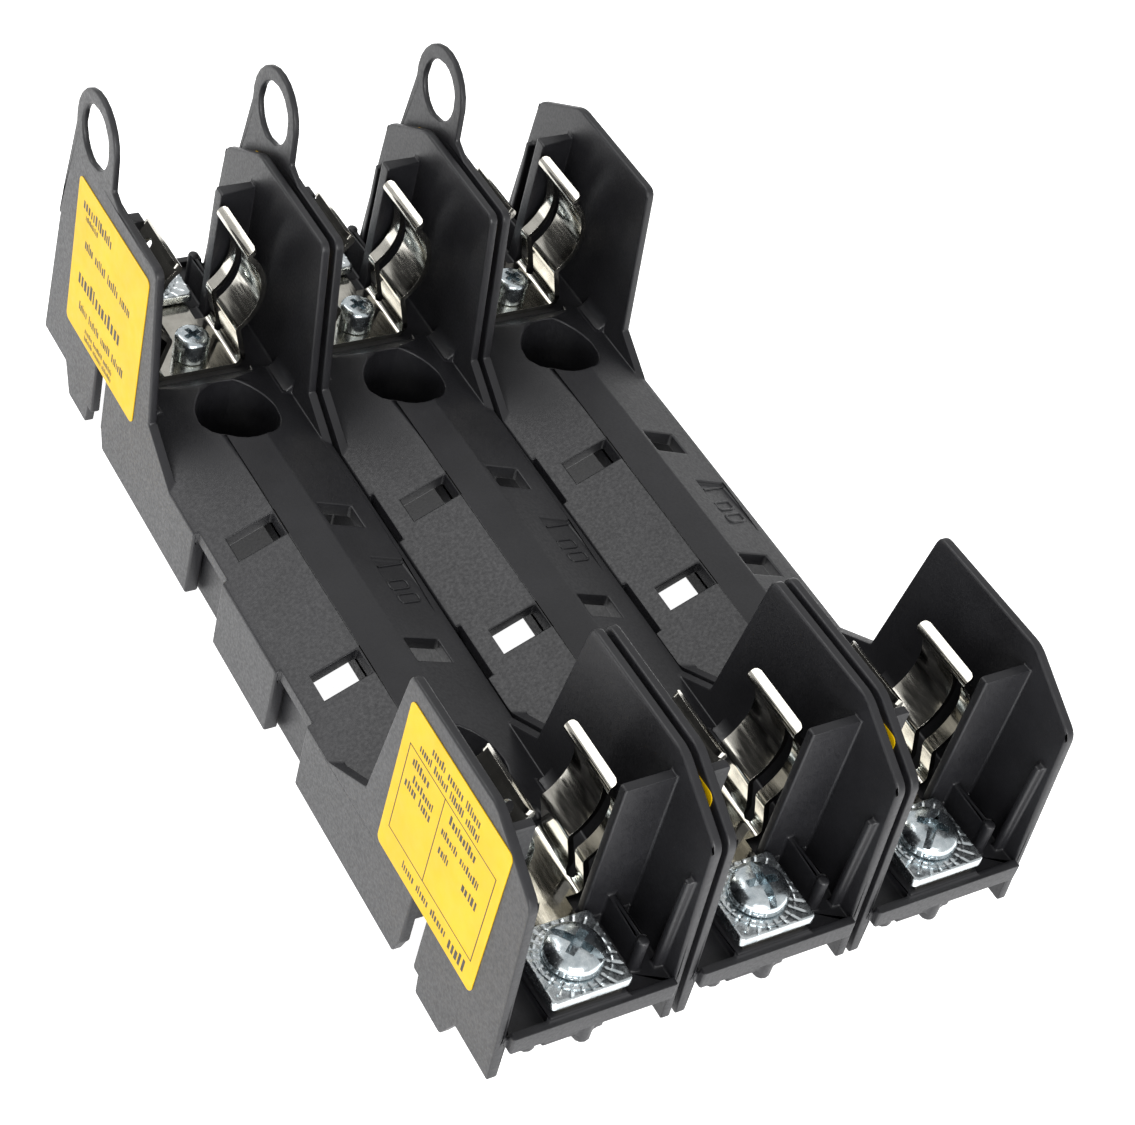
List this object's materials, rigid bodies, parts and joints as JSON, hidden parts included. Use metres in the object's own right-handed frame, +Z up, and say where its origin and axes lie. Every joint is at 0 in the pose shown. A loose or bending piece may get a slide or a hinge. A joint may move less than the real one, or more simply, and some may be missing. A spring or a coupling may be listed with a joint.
{
  "type": "cartridge fuse holder",
  "caption": "Open modular fuse block with spring clips and plate terminals at both ends of each moulded pole, finger rings and side barriers",
  "frame": {"origin": "middle of the overall box, on the plane of the mounting panel", "axes": "+Z up from the panel, +Y along the fuses towards the line end with the finger rings, +X across the poles to the right"},
  "size_m": [0.0918, 0.161, 0.0596],
  "materials": {
    "moulding": "fine spark-eroded black thermoplastic",
    "clip_strip": "bright nickel-plated copper alloy strip",
    "zinc_screw": "bright zinc-plated steel",
    "zinc_plate": "bright zinc-plated stamped steel",
    "zinc_nut": "zinc-plated steel",
    "label": "printed yellow film label"
  },
  "bodies": {
    "block": {"pole1_base": "moulding", "pole1_line_clip": "clip_strip", "pole1_line_clip_screw": "zinc_screw", "pole1_line_terminal_nut": "zinc_nut", "pole1_line_label": "label", "pole1_load_clip": "clip_strip", "pole1_load_clip_screw": "zinc_screw", "pole1_load_terminal_nut": "zinc_nut", "pole1_load_label": "label", "pole2_base": "moulding", "pole2_line_clip": "clip_strip", "pole2_line_clip_screw": "zinc_screw", "pole2_line_terminal_nut": "zinc_nut", "pole2_line_label": "label", "pole2_load_clip": "clip_strip", "pole2_load_clip_screw": "zinc_screw", "pole2_load_terminal_nut": "zinc_nut", "pole2_load_label": "label", "pole3_base": "moulding", "pole3_line_clip": "clip_strip", "pole3_line_clip_screw": "zinc_screw", "pole3_line_terminal_nut": "zinc_nut", "pole3_line_label": "label", "pole3_load_clip": "clip_strip", "pole3_load_clip_screw": "zinc_screw", "pole3_load_terminal_nut": "zinc_nut", "pole3_load_label": "label"},
    "pole1_line_plate_body": {"pole1_line_wire_plate": "zinc_plate"},
    "pole1_line_screw_body": {"pole1_line_terminal_screw": "zinc_screw"},
    "pole1_load_plate_body": {"pole1_load_wire_plate": "zinc_plate"},
    "pole1_load_screw_body": {"pole1_load_terminal_screw": "zinc_screw"},
    "pole2_line_plate_body": {"pole2_line_wire_plate": "zinc_plate"},
    "pole2_line_screw_body": {"pole2_line_terminal_screw": "zinc_screw"},
    "pole2_load_plate_body": {"pole2_load_wire_plate": "zinc_plate"},
    "pole2_load_screw_body": {"pole2_load_terminal_screw": "zinc_screw"},
    "pole3_line_plate_body": {"pole3_line_wire_plate": "zinc_plate"},
    "pole3_line_screw_body": {"pole3_line_terminal_screw": "zinc_screw"},
    "pole3_load_plate_body": {"pole3_load_wire_plate": "zinc_plate"},
    "pole3_load_screw_body": {"pole3_load_terminal_screw": "zinc_screw"}
  },
  "joints": [
    {"name": "pole1_line_plate_lift", "type": "slide", "parent": "block", "child": "pole1_line_plate_body", "axis": [0, 0, 1], "range_m": [0, 0.00317]},
    {"name": "pole1_line_screw_turn", "type": "hinge", "parent": "pole1_line_plate_body", "child": "pole1_line_screw_body", "pos_m": [-0.03185, 0.0732, 0.018], "axis": [0, 0, 1], "range_deg": [0, 1441]},
    {"name": "pole1_load_plate_lift", "type": "slide", "parent": "block", "child": "pole1_load_plate_body", "axis": [0, 0, 1], "range_m": [0, 0.00317]},
    {"name": "pole1_load_screw_turn", "type": "hinge", "parent": "pole1_load_plate_body", "child": "pole1_load_screw_body", "pos_m": [-0.03185, -0.0732, 0.018], "axis": [0, 0, 1], "range_deg": [0, 1441]},
    {"name": "pole2_line_plate_lift", "type": "slide", "parent": "block", "child": "pole2_line_plate_body", "axis": [0, 0, 1], "range_m": [0, 0.00317]},
    {"name": "pole2_line_screw_turn", "type": "hinge", "parent": "pole2_line_plate_body", "child": "pole2_line_screw_body", "pos_m": [-0.00185, 0.0732, 0.018], "axis": [0, 0, 1], "range_deg": [0, 1441]},
    {"name": "pole2_load_plate_lift", "type": "slide", "parent": "block", "child": "pole2_load_plate_body", "axis": [0, 0, 1], "range_m": [0, 0.00317]},
    {"name": "pole2_load_screw_turn", "type": "hinge", "parent": "pole2_load_plate_body", "child": "pole2_load_screw_body", "pos_m": [-0.00185, -0.0732, 0.018], "axis": [0, 0, 1], "range_deg": [0, 1441]},
    {"name": "pole3_line_plate_lift", "type": "slide", "parent": "block", "child": "pole3_line_plate_body", "axis": [0, 0, 1], "range_m": [0, 0.00317]},
    {"name": "pole3_line_screw_turn", "type": "hinge", "parent": "pole3_line_plate_body", "child": "pole3_line_screw_body", "pos_m": [0.02815, 0.0732, 0.018], "axis": [0, 0, 1], "range_deg": [0, 1441]},
    {"name": "pole3_load_plate_lift", "type": "slide", "parent": "block", "child": "pole3_load_plate_body", "axis": [0, 0, 1], "range_m": [0, 0.00317]},
    {"name": "pole3_load_screw_turn", "type": "hinge", "parent": "pole3_load_plate_body", "child": "pole3_load_screw_body", "pos_m": [0.02815, -0.0732, 0.018], "axis": [0, 0, 1], "range_deg": [0, 1441]}
  ],
  "couplings": [
    {"joint": "pole1_line_screw_turn", "follows": "pole1_line_plate_lift", "rad_per_m": 7915.8},
    {"joint": "pole1_load_screw_turn", "follows": "pole1_load_plate_lift", "rad_per_m": 7915.8},
    {"joint": "pole2_line_screw_turn", "follows": "pole2_line_plate_lift", "rad_per_m": 7915.8},
    {"joint": "pole2_load_screw_turn", "follows": "pole2_load_plate_lift", "rad_per_m": 7915.8},
    {"joint": "pole3_line_screw_turn", "follows": "pole3_line_plate_lift", "rad_per_m": 7915.8},
    {"joint": "pole3_load_screw_turn", "follows": "pole3_load_plate_lift", "rad_per_m": 7915.8}
  ]
}
